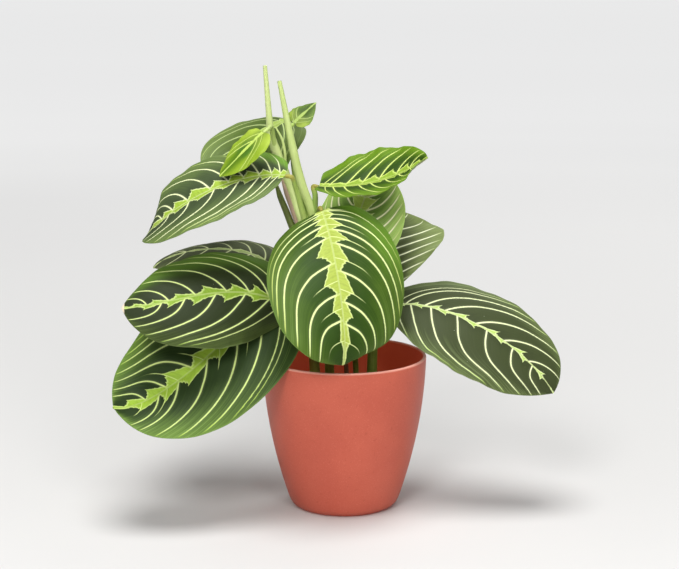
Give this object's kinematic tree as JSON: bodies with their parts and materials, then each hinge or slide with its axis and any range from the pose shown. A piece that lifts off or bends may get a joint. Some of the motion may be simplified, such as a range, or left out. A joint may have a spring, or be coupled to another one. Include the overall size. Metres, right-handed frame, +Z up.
{
  "type": "potted prayer plant",
  "caption": "Prayer plant with oval, boldly veined leaves and cut-back canes, growing in a smooth tapered round pot.",
  "frame": {"origin": "centre of the pot's flat underside, on the surface it stands on", "axes": "+Z up along the pot's axis, -Y towards the viewer of the picture, +X to the viewer's right"},
  "size_m": [0.2819, 0.1366, 0.2841],
  "materials": {
    "pot_terracotta": "satin, faint fine speckle",
    "soil": "rough, crumbly",
    "cane_green": "smooth, soft sheen",
    "dry_stalk": "dry, matte",
    "leaf_blade": "satin leaf",
    "leaf_blade_dark": "satin leaf",
    "leaf_blade_young": "satin leaf"
  },
  "bodies": {
    "root": {"pot": "pot_terracotta", "soil": "soil", "cane_left": "cane_green", "cane_right": "cane_green", "shoot_right": "cane_green", "stalk_upright": "cane_green", "dry_stalk": "dry_stalk", "leaf_front": "leaf_blade", "leaf_left_middle": "leaf_blade_dark", "leaf_left_low": "leaf_blade", "leaf_left_back": "leaf_blade_dark", "leaf_upper_left": "leaf_blade", "leaf_young_left": "leaf_blade_young", "leaf_top_back": "leaf_blade", "leaf_upper_right": "leaf_blade", "leaf_right_upright": "leaf_blade", "leaf_right_back": "leaf_blade_dark", "leaf_right_low": "leaf_blade_dark", "leaf_young_right": "leaf_blade_young"}
  },
  "joints": []
}
